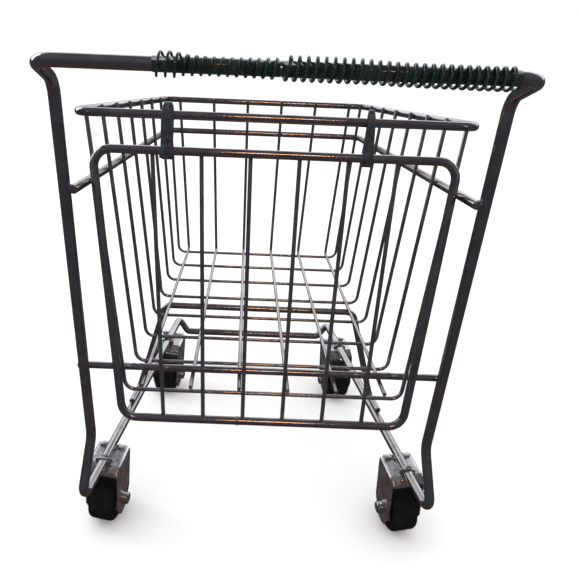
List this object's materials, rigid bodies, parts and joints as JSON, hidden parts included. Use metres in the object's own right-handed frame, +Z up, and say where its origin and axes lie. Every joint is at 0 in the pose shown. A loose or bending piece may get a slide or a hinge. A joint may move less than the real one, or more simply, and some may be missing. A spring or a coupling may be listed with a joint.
{
  "type": "shopping cart",
  "caption": "Small chrome wire shopping cart with a looped tube-rod frame, tapered wire basket, hinged rear gate, coil-wrapped handle and fixed wheels.",
  "frame": {"origin": "centre of the bounding box in plan, on the plane the tyres stand on", "axes": "+X to the right as seen from behind the handle, +Y the way the cart is pushed, +Z up"},
  "size_m": [0.2434, 0.2714, 0.3347],
  "materials": {
    "rod_chrome": "polished plate",
    "mesh_chrome": "polished plate",
    "clip_strap": "dull plate",
    "fork_plate": "zinc plate",
    "rivet_steel": "plated",
    "tyre_rubber": "matte",
    "hub_plastic": "moulded",
    "grip_vinyl": "glossy"
  },
  "bodies": {
    "cart": {"axle_front_left": "rivet_steel", "axle_front_right": "rivet_steel", "axle_rear_left": "rivet_steel", "axle_rear_right": "rivet_steel", "basket_rim": "rod_chrome", "floor_support": "rod_chrome", "fork_front_left": "fork_plate", "fork_front_right": "fork_plate", "fork_rear_left": "fork_plate", "fork_rear_right": "fork_plate", "grip_left": "grip_vinyl", "grip_right": "grip_vinyl", "hoop_1": "mesh_chrome", "hoop_2": "mesh_chrome", "hoop_3": "mesh_chrome", "hoop_4": "mesh_chrome", "hoop_5": "mesh_chrome", "hoop_6": "mesh_chrome", "hoop_7": "mesh_chrome", "hoop_8": "mesh_chrome", "long_wire_left_1": "mesh_chrome", "long_wire_left_2": "mesh_chrome", "long_wire_left_3": "mesh_chrome", "long_wire_right_1": "mesh_chrome", "long_wire_right_2": "mesh_chrome", "long_wire_right_3": "mesh_chrome", "main_frame": "rod_chrome", "rear_crossbar": "rod_chrome", "side_band": "rod_chrome"},
    "gate": {"gate_clip_left": "clip_strap", "gate_clip_right": "clip_strap", "gate_frame": "rod_chrome", "gate_wire_left_1": "mesh_chrome", "gate_wire_left_2": "mesh_chrome", "gate_wire_left_3": "mesh_chrome", "gate_wire_right_1": "mesh_chrome", "gate_wire_right_2": "mesh_chrome", "gate_wire_right_3": "mesh_chrome"},
    "wheel_rear_left": {"hub_rear_left": "hub_plastic", "tyre_rear_left": "tyre_rubber"},
    "wheel_rear_right": {"hub_rear_right": "hub_plastic", "tyre_rear_right": "tyre_rubber"},
    "wheel_front_left": {"hub_front_left": "hub_plastic", "tyre_front_left": "tyre_rubber"},
    "wheel_front_right": {"hub_front_right": "hub_plastic", "tyre_front_right": "tyre_rubber"}
  },
  "joints": [
    {"name": "gate_hinge", "type": "hinge", "parent": "cart", "child": "gate", "pos_m": [0, -0.0727, 0.2965], "axis": [-1, 0, 0], "range_deg": [0, 80]},
    {"name": "wheel_rear_left_spin", "type": "hinge", "parent": "cart", "child": "wheel_rear_left", "pos_m": [-0.10741, -0.07111, 0.01806], "axis": [-0.9848, 0.161, 0.0645], "continuous": true},
    {"name": "wheel_rear_right_spin", "type": "hinge", "parent": "cart", "child": "wheel_rear_right", "pos_m": [0.10741, -0.07111, 0.01806], "axis": [-0.9848, -0.161, -0.0645], "continuous": true},
    {"name": "wheel_front_left_spin", "type": "hinge", "parent": "cart", "child": "wheel_front_left", "pos_m": [-0.08144, 0.08769, 0.01806], "axis": [-0.9848, 0.161, 0.0645], "continuous": true},
    {"name": "wheel_front_right_spin", "type": "hinge", "parent": "cart", "child": "wheel_front_right", "pos_m": [0.08144, 0.08769, 0.01806], "axis": [-0.9848, -0.161, -0.0645], "continuous": true}
  ]
}
